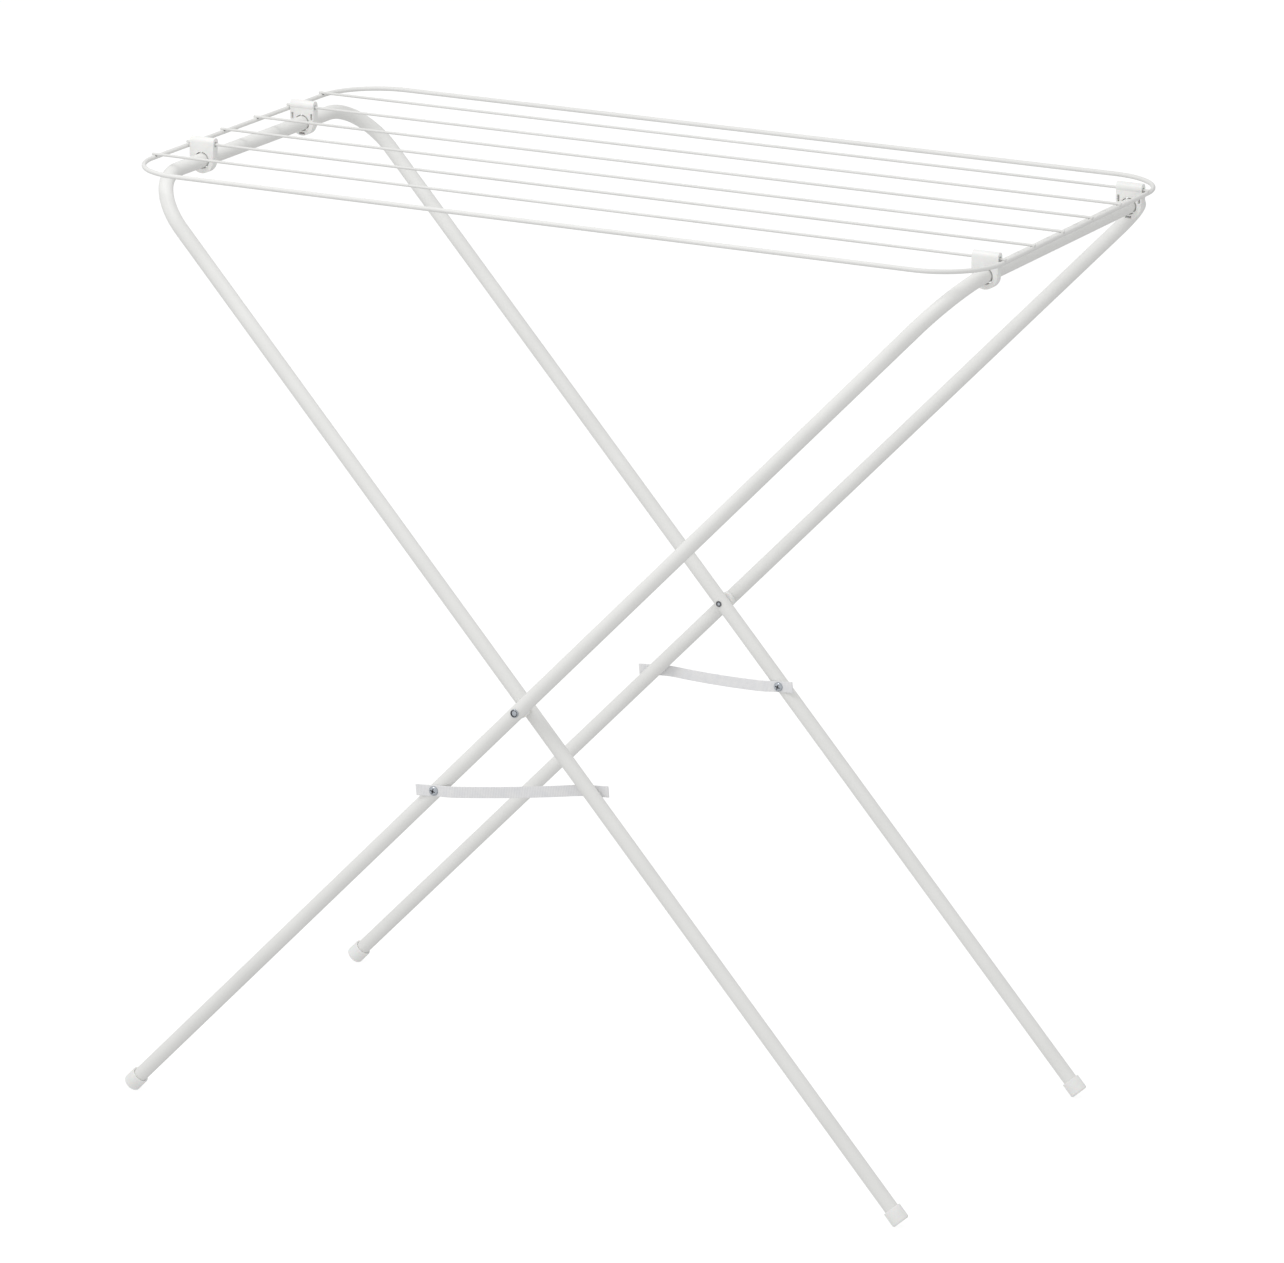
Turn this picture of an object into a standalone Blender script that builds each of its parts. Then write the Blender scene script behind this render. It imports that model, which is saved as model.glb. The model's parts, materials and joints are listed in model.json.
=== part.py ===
"""Folding clothes drying rack: two bent-tube U frames crossed as an X, a wire grid and two webbing straps.

Metres, +Z up. X runs along the drying wires, Y across the rack and the feet stand on z = 0. The inner frame
carries the left end of the grid and the outer frame the right end. The model is mirror-symmetric about the
plane Y = 0.
"""

import math

import bmesh
import bpy
from mathutils import Matrix, Vector

# Clearance left between touching pieces
GAP = 0.0003

# Bent steel tubes of the two frames
TUBE_R = 0.008
TUBE_WALL = 0.001
BEND_R = 0.066
INNER_TILT = math.radians(48.2)
OUTER_TILT = math.radians(45.87)
INNER_HALF = 0.2294
OUTER_HALF = 0.2505

# Crossing point of the legs and height of both top bars
PIVOT_X = -0.0166
PIVOT_Z = 0.5128
BAR_Z = 1.0374

# Plastic sleeve caps on the leg ends
CAP_R = 0.0102
CAP_FILLET = 0.0022
CAP_LIP = 0.0006
CAP_LENGTH = 0.0175
CAP_FLOOR = 0.0035

# Wire grid
RIM_R = 0.0025
WIRE_R = 0.0015
WIRE_PITCH = 0.0723
WIRE_COUNT = 6
RIM_CORNER_R = 0.069
RIM_OVERHANG = 0.0187
RIM_ABOVE_BAR = 0.0147
WIRE_PAST_RIM = 0.0030

# Plastic clips between the grid and the top bars
CLIP_HALF_WIDTH = 0.0150
CLIP_DEPTH = 0.0108
CLIP_RING_R = 0.0144
CLIP_BORE_R = TUBE_R + 0.0013
CLIP_BARREL_R = CLIP_DEPTH / 2
CLIP_TOP = 0.0252
CLIP_FOOT = 0.0035
CLIP_PLATE_STEP = 0.0010
CLIP_HOLLOW_R = 0.0027
CLIP_HOLLOW_DEPTH = 0.0040
CLIP_POCKET_LONG = 0.0075
CLIP_POCKET_SHORT = 0.0027
CLIP_POCKET_HEIGHT = 0.0076
CLIP_POCKET_DEPTH = 0.0060
SNAP_MOUTH_WIDTH = 0.0100
SNAP_MOUTH_ANGLE = math.radians(205.0)

# Rivets and spacers at the leg crossings
RIVET_SHANK_R = 0.0030
RIVET_HEAD_R = 0.0048
RIVET_HEAD_H = 0.0014
RIVET_TAIL_R = 0.0034
RIVET_TAIL_H = 0.0010
SPACER_R = 0.0088
SPACER_WRAP = 0.0040

# Webbing straps and their screws, placed by distance below the pivot along each leg
STRAP_WIDTH = 0.0127
STRAP_THICK = 0.0012
STRAP_SAG = 0.0018
STRAP_ON_OUTER_LEG = 0.1411
STRAP_ON_INNER_LEG = 0.1150
STRAP_OUTER_TAIL = 0.0220
STRAP_INNER_TAIL = 0.0175
STRAP_FLAT_ON_LEG = 0.0090
STRAP_EASE = 0.12
SCREW_SHANK_R = 0.0020
SCREW_SHANK_L = 0.0060
SCREW_HEAD_R = 0.0054
SCREW_HEAD_H = 0.0026

# Facets
TUBE_BEVEL_RESOLUTION = 8
RIM_BEVEL_RESOLUTION = 3
WIRE_SIDES = 12
ROUND_SIDES = 32
SMOOTH_ANGLE = math.radians(35.0)

# Worked out from the driving dimensions
INNER_UP = (BAR_Z - PIVOT_Z) / math.sin(INNER_TILT)
OUTER_UP = (BAR_Z - PIVOT_Z) / math.sin(OUTER_TILT)
INNER_BAR_X = PIVOT_X - INNER_UP * math.cos(INNER_TILT)
OUTER_BAR_X = PIVOT_X + OUTER_UP * math.cos(OUTER_TILT)
RIM_Z = BAR_Z + RIM_ABOVE_BAR
WIRE_Z = RIM_Z + RIM_R + WIRE_R + GAP
RIM_HALF_WIDTH = WIRE_PITCH * (WIRE_COUNT + 1) / 2
RIM_LEFT = INNER_BAR_X - RIM_OVERHANG
RIM_RIGHT = OUTER_BAR_X + RIM_OVERHANG
SIDES = (("front", -1), ("rear", 1))


def material(name, colour, roughness, metallic=0.0):
    """Return the named Principled material, made on first use."""
    found = bpy.data.materials.get(name)
    if found:
        return found
    made = bpy.data.materials.new(name)
    made.use_nodes = True
    shader = made.node_tree.nodes["Principled BSDF"]
    shader.inputs["Base Color"].default_value = (*colour, 1.0)
    shader.inputs["Roughness"].default_value = roughness
    shader.inputs["Metallic"].default_value = metallic
    return made


def white_paint(name):
    return material(name, (0.86, 0.86, 0.84), 0.35)


def white_plastic(name):
    return material(name, (0.88, 0.88, 0.87), 0.42)


def bright_steel(name):
    return material(name, (0.62, 0.62, 0.61), 0.30, 1.0)


def webbing(name):
    return material(name, (0.80, 0.82, 0.86), 0.85)


def start_scene():
    """Remove the scene's objects and return the collections for the parts and for the cutters."""
    for old in list(bpy.data.objects):
        bpy.data.objects.remove(old)
    rack = bpy.data.collections.new("clothes_drying_rack")
    cutters = bpy.data.collections.new("cutters")
    bpy.context.scene.collection.children.link(rack)
    bpy.context.scene.collection.children.link(cutters)
    return rack, cutters


def place(name, mesh, parent, location=(0, 0, 0), rotation=(0, 0, 0), surface=None):
    """Add a mesh to the rack as the named sub-part, below a parent."""
    part = bpy.data.objects.new(name, mesh)
    RACK.objects.link(part)
    part.parent = parent
    part.location = location
    part.rotation_euler = rotation
    mesh.materials.clear()
    mesh.materials.append(surface)
    mesh.shade_smooth()
    mesh.set_sharp_from_angle(angle=SMOOTH_ANGLE)
    return part


def cut(part, mesh, location=(0, 0, 0), rotation=(0, 0, 0), operation="DIFFERENCE"):
    """Cut a mesh out of a part, or join it on, with the tool placed in the part's own frame."""
    tool = bpy.data.objects.new(part.name + "_tool", mesh)
    CUTTERS.objects.link(tool)
    tool.parent = part
    tool.location = location
    tool.rotation_euler = rotation
    tool.hide_render = True
    tool.display_type = "WIRE"
    step = part.modifiers.new("Boolean", "BOOLEAN")
    step.operation = operation
    step.solver = "EXACT"
    step.object = tool


def frame_empty(name, location, rotation=(0, 0, 0)):
    """An empty on a joint's axis, which carries one frame's pieces."""
    empty = bpy.data.objects.new(name, None)
    RACK.objects.link(empty)
    empty.location = location
    empty.rotation_euler = rotation
    return empty


def rod_mesh(name, radius, length, sides=ROUND_SIDES, axis="Z"):
    """A closed cylinder centred on the origin along an axis."""
    mesh = bpy.data.meshes.new(name)
    solid = bmesh.new()
    bmesh.ops.create_cone(
        solid, cap_ends=True, segments=sides, radius1=radius, radius2=radius, depth=length
    )
    turn = {
        "X": Matrix.Rotation(math.pi / 2, 4, "Y"),
        "Y": Matrix.Rotation(-math.pi / 2, 4, "X"),
        "Z": Matrix.Identity(4),
    }
    bmesh.ops.transform(solid, matrix=turn[axis], verts=solid.verts)
    solid.to_mesh(mesh)
    solid.free()
    return mesh


def box_mesh(name, size):
    """A closed box centred on the origin."""
    mesh = bpy.data.meshes.new(name)
    solid = bmesh.new()
    bmesh.ops.create_cube(solid, size=1.0)
    bmesh.ops.scale(solid, vec=size, verts=solid.verts)
    solid.to_mesh(mesh)
    solid.free()
    return mesh


def arc(centre, radius, start, end, steps):
    """Points of a circular arc in a plane, with angles in degrees."""
    points = []
    for i in range(steps + 1):
        angle = math.radians(start + (end - start) * i / steps)
        points.append((centre[0] + radius * math.cos(angle), centre[1] + radius * math.sin(angle)))
    return points


def curve_mesh(name, points, radius, resolution, cyclic=False, caps=True):
    """The mesh of a round bar or tube surface along a poly line."""
    curve = bpy.data.curves.new(name, "CURVE")
    curve.dimensions = "3D"
    curve.bevel_depth = radius
    curve.bevel_resolution = resolution
    curve.use_fill_caps = caps
    spline = curve.splines.new("POLY")
    spline.points.add(len(points) - 1)
    spline.use_cyclic_u = cyclic
    for slot, point in zip(spline.points, points):
        slot.co = (*point, 1.0)
    holder = bpy.data.objects.new(name + "_curve", curve)
    RACK.objects.link(holder)
    bpy.context.view_layer.update()
    evaluated = holder.evaluated_get(bpy.context.evaluated_depsgraph_get())
    mesh = bpy.data.meshes.new_from_object(evaluated)
    bpy.data.objects.remove(holder)
    bpy.data.curves.remove(curve)
    solid = bmesh.new()
    solid.from_mesh(mesh)
    bmesh.ops.remove_doubles(solid, verts=solid.verts, dist=0.00001)
    bmesh.ops.recalc_face_normals(solid, faces=solid.faces)
    solid.to_mesh(mesh)
    solid.free()
    return mesh


def prism_mesh(name, outline, depth, axis):
    """A closed prism centred on the origin: an outline of (across, height), given a depth along X or Y."""
    solid = bmesh.new()
    if axis == "Y":
        corners = [solid.verts.new((across, -depth / 2, height)) for across, height in outline]
        shift = (0.0, depth, 0.0)
    else:
        corners = [solid.verts.new((-depth / 2, across, height)) for across, height in outline]
        shift = (depth, 0.0, 0.0)
    face = solid.faces.new(corners)
    raised = bmesh.ops.extrude_face_region(solid, geom=[face])["geom"]
    moved = [item for item in raised if isinstance(item, bmesh.types.BMVert)]
    bmesh.ops.translate(solid, vec=shift, verts=moved)
    bmesh.ops.recalc_face_normals(solid, faces=solid.faces)
    mesh = bpy.data.meshes.new(name)
    solid.to_mesh(mesh)
    solid.free()
    return mesh


def turned_mesh(name, profile):
    """A closed turned solid about Z from a profile that starts and ends on the axis."""
    mesh = bpy.data.meshes.new(name)
    outline = bmesh.new()
    corners = [outline.verts.new((x, 0.0, z)) for x, z in profile]
    for first, second in zip(corners, corners[1:]):
        outline.edges.new((first, second))
    outline.to_mesh(mesh)
    outline.free()
    return mesh


def add_screw(part):
    """Turn a profile about its own Z axis."""
    step = part.modifiers.new("Screw", "SCREW")
    step.steps = ROUND_SIDES
    step.render_steps = ROUND_SIDES
    step.use_merge_vertices = True
    step.merge_threshold = 0.00001
    step.use_smooth_shade = True


def leg_end(tilt):
    """Distance below the pivot at which a cap's end face lets its round edge touch the floor."""
    drop = PIVOT_Z - CAP_FILLET - (CAP_R - CAP_FILLET) * math.cos(tilt)
    return drop / math.sin(tilt) + CAP_FILLET


def hollow_tube(name, parent, points):
    """An open-ended tube of the frame's size along a poly line in the frame's own plane."""
    mesh = curve_mesh(name, [(0.0, y, z) for y, z in points], TUBE_R, TUBE_BEVEL_RESOLUTION, caps=False)
    tube = place(name, mesh, parent, surface=white_paint(name))
    wall = tube.modifiers.new("Solidify", "SOLIDIFY")
    wall.thickness = TUBE_WALL
    wall.offset = -1.0
    return tube


def u_frame(prefix, parent, half, up, down, screw_drop, screw_side):
    """One bent tube in three sub-parts: its top bar with both bends, and two straight, drilled legs."""
    bend_start = up - BEND_R
    division = bend_start - TUBE_R / 2
    first = arc((half - BEND_R, bend_start), BEND_R, 0, 90, 10)
    second = arc((BEND_R - half, bend_start), BEND_R, 90, 180, 10)
    route = [(half, division + GAP / 2)] + first + second + [(-half, division + GAP / 2)]
    hollow_tube(prefix + "_top_bar", parent, route)
    bore = rod_mesh("rivet_hole", RIVET_SHANK_R + GAP, 4 * TUBE_R, 16, "Y")
    screw_bore = rod_mesh("screw_hole", SCREW_SHANK_R + GAP, 2 * TUBE_R, 16, "Y")
    for word, side in SIDES:
        route = [(side * half, -down), (side * half, division - GAP / 2)]
        leg = hollow_tube(prefix + "_leg_" + word, parent, route)
        cut(leg, bore, (0.0, side * half, 0.0))
        cut(leg, screw_bore, (0.0, side * (half + screw_side * TUBE_R), -screw_drop))


def foot_cap(name, parent, side_y, end):
    """A sleeve cap over a leg's end, with a flat end face and a rounded edge."""
    bore = TUBE_R + GAP
    edge = arc((CAP_R - CAP_FILLET, CAP_FILLET), CAP_FILLET, 0, -90, 6)
    profile = [(0.0, CAP_FLOOR), (bore, CAP_FLOOR), (bore, CAP_LENGTH)]
    profile += [(CAP_R - CAP_LIP, CAP_LENGTH), (CAP_R, CAP_LENGTH - CAP_LIP)]
    profile += edge + [(0.0, 0.0)]
    cap = place(name, turned_mesh(name, profile), parent, (0.0, side_y, -end), surface=white_plastic(name))
    add_screw(cap)


def rivet(name, parent, side):
    """A tubular rivet through both legs: its head on the outer leg and a flared tail on the inner leg."""
    head = OUTER_HALF + TUBE_R + GAP
    tail = INNER_HALF - TUBE_R - GAP
    shank = head - tail
    profile = [(0.0, RIVET_HEAD_H * 0.7), (RIVET_HEAD_R * 0.45, RIVET_HEAD_H)]
    profile += [(RIVET_HEAD_R * 0.8, RIVET_HEAD_H * 0.85), (RIVET_HEAD_R, RIVET_HEAD_H * 0.35)]
    profile += [(RIVET_HEAD_R, 0.0), (RIVET_SHANK_R, 0.0), (RIVET_SHANK_R, -shank)]
    profile += [(RIVET_TAIL_R, -shank), (RIVET_TAIL_R, -shank - RIVET_TAIL_H * 0.6)]
    profile += [(RIVET_SHANK_R * 0.8, -shank - RIVET_TAIL_H), (RIVET_SHANK_R * 0.6, -shank)]
    profile += [(0.0, -shank)]
    turn = (-side * math.pi / 2, 0.0, 0.0)
    part = place(
        name, turned_mesh(name, profile), parent, (0.0, side * head, 0.0), turn, bright_steel(name)
    )
    add_screw(part)


def spacer(name, parent, side):
    """A round plastic spacer between the legs: flat to the inner leg, a saddle around the outer leg."""
    inner_face = INNER_HALF + TUBE_R + GAP
    outer_face = OUTER_HALF - TUBE_R + SPACER_WRAP
    depth = outer_face - inner_face
    mesh = rod_mesh(name, SPACER_R, depth, ROUND_SIDES, "Y")
    middle = (outer_face + inner_face) / 2
    part = place(name, mesh, parent, (0.0, side * middle, 0.0), surface=white_plastic(name))
    saddle = rod_mesh("spacer_saddle", TUBE_R + GAP, 4 * SPACER_R, ROUND_SIDES, "Z")
    cut(part, saddle, (0.0, side * (OUTER_HALF - middle), 0.0))
    cut(part, rod_mesh("spacer_bore", RIVET_SHANK_R + GAP, 4 * depth, 16, "Y"))


def strap_screw(name, parent, location, side):
    """A pan-head screw that holds a strap on a leg, its shank through the leg's near wall."""
    dome = arc((SCREW_HEAD_R - SCREW_HEAD_H, 0.0), SCREW_HEAD_H, 75, 0, 5)
    profile = [(0.0, SCREW_HEAD_H)] + dome
    profile += [(SCREW_SHANK_R, 0.0), (SCREW_SHANK_R, 0.001 - SCREW_SHANK_L)]
    profile += [(SCREW_SHANK_R - 0.001, -SCREW_SHANK_L), (0.0, -SCREW_SHANK_L)]
    turn = (-side * math.pi / 2, 0.0, 0.0)
    part = place(name, turned_mesh(name, profile), parent, location, turn, bright_steel(name))
    add_screw(part)


def strap_screws():
    """Four screws: on the outer face of the outer legs and on the inner face of the inner legs."""
    seat = GAP + STRAP_THICK + GAP
    for word, side in SIDES:
        outer_y = side * (OUTER_HALF + TUBE_R + seat)
        strap_screw(
            "strap_screw_outer_" + word, OUTER, (0.0, outer_y, -STRAP_ON_OUTER_LEG), side
        )
        inner_y = side * (INNER_HALF - TUBE_R - seat)
        strap_screw(
            "strap_screw_inner_" + word, INNER, (0.0, inner_y, -STRAP_ON_INNER_LEG), -side
        )


def eased(along):
    """A straight run from 0 to 1 with a short round start and finish."""
    slope = 1 / (1 - STRAP_EASE)
    if along < STRAP_EASE:
        return slope * along * along / (2 * STRAP_EASE)
    if along > 1 - STRAP_EASE:
        return 1 - slope * (1 - along) ** 2 / (2 * STRAP_EASE)
    return slope * (along - STRAP_EASE / 2)


def strap(name, side):
    """A slightly sagging strap from an outer leg's outer face to the inner leg's inner face."""
    outer_x = PIVOT_X - STRAP_ON_OUTER_LEG * math.cos(OUTER_TILT)
    outer_z = PIVOT_Z - STRAP_ON_OUTER_LEG * math.sin(OUTER_TILT)
    inner_x = PIVOT_X + STRAP_ON_INNER_LEG * math.cos(INNER_TILT)
    inner_z = PIVOT_Z - STRAP_ON_INNER_LEG * math.sin(INNER_TILT)
    outer_y = OUTER_HALF + TUBE_R + GAP + STRAP_THICK / 2
    inner_y = INNER_HALF - TUBE_R - GAP - STRAP_THICK / 2
    slope = (inner_z - outer_z) / (inner_x - outer_x)
    leave = outer_x + STRAP_FLAT_ON_LEG
    arrive = inner_x - STRAP_FLAT_ON_LEG
    steps = 20
    stations = [outer_x - STRAP_OUTER_TAIL]
    stations += [leave + (arrive - leave) * i / steps for i in range(steps + 1)]
    stations.append(inner_x + STRAP_INNER_TAIL)
    ribbon = bmesh.new()
    low = []
    for x in stations:
        along = min(max((x - leave) / (arrive - leave), 0.0), 1.0)
        sag = 4 * STRAP_SAG * along * (1 - along)
        y = outer_y + (inner_y - outer_y) * eased(along)
        z = outer_z + slope * (x - outer_x) - sag - STRAP_WIDTH / 2
        low.append(ribbon.verts.new((x, side * y, z)))
    edges = [ribbon.edges.new(pair) for pair in zip(low, low[1:])]
    raised = bmesh.ops.extrude_edge_only(ribbon, edges=edges)["geom"]
    top = [item for item in raised if isinstance(item, bmesh.types.BMVert)]
    bmesh.ops.translate(ribbon, vec=(0.0, 0.0, STRAP_WIDTH), verts=top)
    mesh = bpy.data.meshes.new(name)
    ribbon.to_mesh(mesh)
    ribbon.free()
    part = place(name, mesh, None, surface=webbing(name))
    body = part.modifiers.new("Solidify", "SOLIDIFY")
    body.thickness = STRAP_THICK
    body.offset = 0.0
    hole = rod_mesh("strap_hole", SCREW_SHANK_R + GAP, 6 * STRAP_THICK, 16, "Y")
    cut(part, hole, (outer_x, side * outer_y, outer_z))
    cut(part, hole, (inner_x, side * inner_y, inner_z))


def grid_rim(parent):
    """The grid's outer wire: one closed loop with round corners."""
    half = RIM_HALF_WIDTH - RIM_CORNER_R
    left = RIM_LEFT + RIM_CORNER_R
    right = RIM_RIGHT - RIM_CORNER_R
    loop = arc((right, half), RIM_CORNER_R, 0, 90, 9)
    loop += arc((left, half), RIM_CORNER_R, 90, 180, 9)
    loop += arc((left, -half), RIM_CORNER_R, 180, 270, 9)
    loop += arc((right, -half), RIM_CORNER_R, 270, 360, 9)
    points = [(x - OUTER_BAR_X, y, RIM_Z - BAR_Z) for x, y in loop]
    mesh = curve_mesh("grid_rim", points, RIM_R, RIM_BEVEL_RESOLUTION, cyclic=True)
    place("grid_rim", mesh, parent, surface=white_paint("grid_rim"))


def wire_y(number):
    """Place across the rack of a drying wire, counted from the front."""
    return (number - (WIRE_COUNT + 1) / 2) * WIRE_PITCH


def drying_wires(parent):
    """The straight wires that lie on the rim's short sides."""
    length = RIM_RIGHT - RIM_LEFT + 2 * WIRE_PAST_RIM
    middle = (RIM_RIGHT + RIM_LEFT) / 2 - OUTER_BAR_X
    for number in range(1, WIRE_COUNT + 1):
        name = "drying_wire_%d" % number
        mesh = rod_mesh(name, WIRE_R, length, WIRE_SIDES, "X")
        place(name, mesh, parent, (middle, wire_y(number), WIRE_Z - BAR_Z), surface=white_paint(name))


def clip_face(name):
    """A clip seen square on, given more than its depth: a ring with a square-shouldered plate on it."""
    shoulder = math.degrees(math.asin(CLIP_FOOT / CLIP_RING_R))
    head = CLIP_TOP + CLIP_BARREL_R
    outline = [(CLIP_HALF_WIDTH, head), (-CLIP_HALF_WIDTH, head), (-CLIP_HALF_WIDTH, CLIP_FOOT)]
    outline += arc((0, 0), CLIP_RING_R, 180 - shoulder, 360 + shoulder, 28)
    outline += [(CLIP_HALF_WIDTH, CLIP_FOOT)]
    return prism_mesh(name, outline, 2 * CLIP_DEPTH, "Y")


def clip_section(side):
    """A clip seen from its end, given more than its width.

    The outer face is flat up to the round barrel on top and the inner face is set back below the barrel.
    """
    under = math.degrees(math.acos(1 - CLIP_PLATE_STEP / CLIP_BARREL_R))
    outline = arc((0, CLIP_TOP - CLIP_BARREL_R), CLIP_BARREL_R, 0, 180 + under, 16)
    outline += [(CLIP_PLATE_STEP - CLIP_BARREL_R, -CLIP_TOP), (CLIP_BARREL_R, -CLIP_TOP)]
    outline = [(side * y, z) for y, z in outline]
    return prism_mesh("clip_section", outline, 4 * CLIP_HALF_WIDTH, "X")


def grid_clip(name, parent, x, number, side, snap):
    """A clip with a ring around the top bar and a barrel around one drying wire.

    Its smooth plate faces outward and its inner face has three moulded pockets. A snap clip's ring has a
    mouth.
    """
    part = place(
        name, clip_face(name), parent, (x - OUTER_BAR_X, wire_y(number), 0.0), surface=white_plastic(name)
    )
    cut(part, clip_section(side), operation="INTERSECT")
    cut(part, rod_mesh("clip_bore", CLIP_BORE_R, 4 * CLIP_DEPTH, 36, "Y"))
    wire_height = WIRE_Z - BAR_Z
    wire_bore = rod_mesh("clip_wire_bore", WIRE_R + GAP, 4 * CLIP_HALF_WIDTH, 16, "X")
    cut(part, wire_bore, (0.0, 0.0, wire_height))
    hollow = rod_mesh("clip_hollow", CLIP_HOLLOW_R, 2 * CLIP_HOLLOW_DEPTH, 20, "X")
    upright = box_mesh("clip_pocket", (CLIP_POCKET_SHORT, CLIP_DEPTH, CLIP_POCKET_LONG))
    flat = box_mesh("clip_pocket", (CLIP_POCKET_LONG, CLIP_DEPTH, CLIP_POCKET_SHORT))
    pocket_y = side * (CLIP_PLATE_STEP + CLIP_POCKET_DEPTH - CLIP_DEPTH)
    pocket_r = (CLIP_BORE_R + CLIP_RING_R) / 2
    for end in (-1, 1):
        cut(part, hollow, (end * CLIP_HALF_WIDTH, 0.0, wire_height))
        cut(part, upright, (end * (pocket_r + GAP), pocket_y, CLIP_POCKET_HEIGHT))
    cut(part, flat, (0.0, pocket_y, -pocket_r))
    if snap:
        mouth = box_mesh("clip_mouth", (CLIP_RING_R, 2 * CLIP_DEPTH, SNAP_MOUTH_WIDTH))
        reach = CLIP_RING_R
        spot = (reach * math.cos(SNAP_MOUTH_ANGLE), 0.0, reach * math.sin(SNAP_MOUTH_ANGLE))
        cut(part, mouth, spot, (0.0, -SNAP_MOUTH_ANGLE, 0.0))


def grid_clips(parent):
    """Two snap clips on the inner frame's bar and two hinge clips on the outer frame's bar."""
    grid_clip("snap_clip_front", parent, INNER_BAR_X, 2, -1, True)
    grid_clip("snap_clip_rear", parent, INNER_BAR_X, 5, 1, True)
    grid_clip("hinge_clip_front", parent, OUTER_BAR_X, 1, -1, False)
    grid_clip("hinge_clip_rear", parent, OUTER_BAR_X, 6, 1, False)


def frames():
    """Both U frames with their foot caps."""
    inner_end = leg_end(INNER_TILT)
    outer_end = leg_end(OUTER_TILT)
    inset = CAP_FLOOR + GAP
    u_frame("inner_frame", INNER, INNER_HALF, INNER_UP, inner_end - inset, STRAP_ON_INNER_LEG, -1)
    u_frame("outer_frame", OUTER, OUTER_HALF, OUTER_UP, outer_end - inset, STRAP_ON_OUTER_LEG, 1)
    for word, side in SIDES:
        foot_cap("inner_foot_cap_" + word, INNER, side * INNER_HALF, inner_end)
        foot_cap("outer_foot_cap_" + word, OUTER, side * OUTER_HALF, outer_end)


def pivots():
    """A rivet and a spacer where each pair of legs crosses."""
    for word, side in SIDES:
        rivet("pivot_rivet_" + word, OUTER, side)
        spacer("pivot_spacer_" + word, OUTER, side)


RACK, CUTTERS = start_scene()
PIVOT = Vector((PIVOT_X, 0.0, PIVOT_Z))
INNER = frame_empty("inner_frame_pivot", PIVOT, (0.0, INNER_TILT - math.pi / 2, 0.0))
OUTER = frame_empty("outer_frame_pivot", PIVOT, (0.0, math.pi / 2 - OUTER_TILT, 0.0))
GRID = frame_empty("grid_hinge", (OUTER_BAR_X, 0.0, BAR_Z))
frames()
pivots()
strap_screws()
for side_word, side_sign in SIDES:
    strap("strap_" + side_word, side_sign)
grid_rim(GRID)
drying_wires(GRID)
grid_clips(GRID)
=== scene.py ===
"""Folding clothes drying rack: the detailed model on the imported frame, with floor, lights and camera."""

import json
import math

import bmesh
import bpy
from mathutils import Matrix, Vector


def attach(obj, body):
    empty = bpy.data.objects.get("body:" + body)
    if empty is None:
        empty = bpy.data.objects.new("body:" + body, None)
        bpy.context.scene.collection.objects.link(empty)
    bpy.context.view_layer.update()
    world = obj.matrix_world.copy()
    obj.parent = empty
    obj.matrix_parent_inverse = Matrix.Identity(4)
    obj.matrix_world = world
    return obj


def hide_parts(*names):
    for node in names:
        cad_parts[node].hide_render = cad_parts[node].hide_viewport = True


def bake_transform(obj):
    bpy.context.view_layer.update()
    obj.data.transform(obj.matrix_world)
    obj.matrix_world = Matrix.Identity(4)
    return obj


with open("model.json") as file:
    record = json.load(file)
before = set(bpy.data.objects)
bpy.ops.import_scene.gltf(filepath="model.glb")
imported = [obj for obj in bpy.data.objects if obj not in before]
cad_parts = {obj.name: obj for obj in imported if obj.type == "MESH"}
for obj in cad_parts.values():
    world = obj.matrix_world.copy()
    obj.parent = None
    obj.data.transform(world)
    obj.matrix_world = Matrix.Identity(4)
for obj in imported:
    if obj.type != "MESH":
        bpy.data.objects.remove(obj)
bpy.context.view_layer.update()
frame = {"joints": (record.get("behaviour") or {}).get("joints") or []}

# Driving dimensions, in metres and radians
TUBE_R = 0.008
BEND_R = 0.066
INNER_TILT = math.radians(48.2)
OUTER_TILT = math.radians(45.87)
INNER_HALF = 0.2294
OUTER_HALF = 0.2505
CAP_R = 0.0102
CAP_LENGTH = 0.0175
CAP_FILLET = 0.0022
CAP_LIP = 0.0008
CAP_FLOOR = 0.0035
RIM_R = 0.0025
RIM_CORNER_R = 0.069
WIRE_R = 0.0015
WIRE_PITCH = 0.0723
WIRE_COUNT = 6
WIRE_PAST_RIM = 0.0030
WIRE_CHAMFER = 0.0004
RIM_ABOVE_BAR = 0.0147
RIM_OVERHANG = 0.0187
WELD_SINK = 0.0005
WELD_BEAD_SIZE = (RIM_R * 0.60, WIRE_R * 1.35, WIRE_R * 0.66)
WELD_BEAD_OUT = RIM_R * 0.35
# Dark lumps of painted shade in the crease where each wire crosses the rim, on its inner side: half sizes,
# shift inward and height
WELD_SHADE_SIZE = (RIM_R * 0.36, WIRE_R * 0.80, WIRE_R * 0.50)
WELD_SHADE_IN = RIM_R * 0.76
WELD_SHADE_UP = RIM_R * 0.72
CLIP_HALF_WIDTH = 0.0150
CLIP_DEPTH = 0.0108
CLIP_RING_R = 0.0144
CLIP_BORE_R = TUBE_R + 0.0013
CLIP_BARREL_R = CLIP_DEPTH / 2
CLIP_TOP = 0.0252
CLIP_FOOT = 0.0035
CLIP_PLATE_STEP = 0.0010
CLIP_HOLLOW_R = 0.0027
CLIP_HOLLOW_DEPTH = 0.0040
CLIP_POCKET_LONG = 0.0075
CLIP_POCKET_SHORT = 0.0027
CLIP_POCKET_HEIGHT = 0.0076
CLIP_POCKET_DEPTH = 0.0060
CLIP_EDGE = 0.0005
SNAP_MOUTH_WIDTH = 0.0100
SNAP_MOUTH_ANGLE = math.radians(205.0)
RIVET_HEAD_R = 0.0048
RIVET_HEAD_H = 0.0014
RIVET_TAIL_R = 0.0034
RIVET_TAIL_H = 0.0010
RIVET_SHANK_R = 0.0030
RIVET_HEAD_SINK = 0.0004
RIVET_SHANK_TOP = 0.0006
SPACER_R = 0.0088
SPACER_WRAP = 0.0040
SPACER_EDGE = 0.0005
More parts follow.
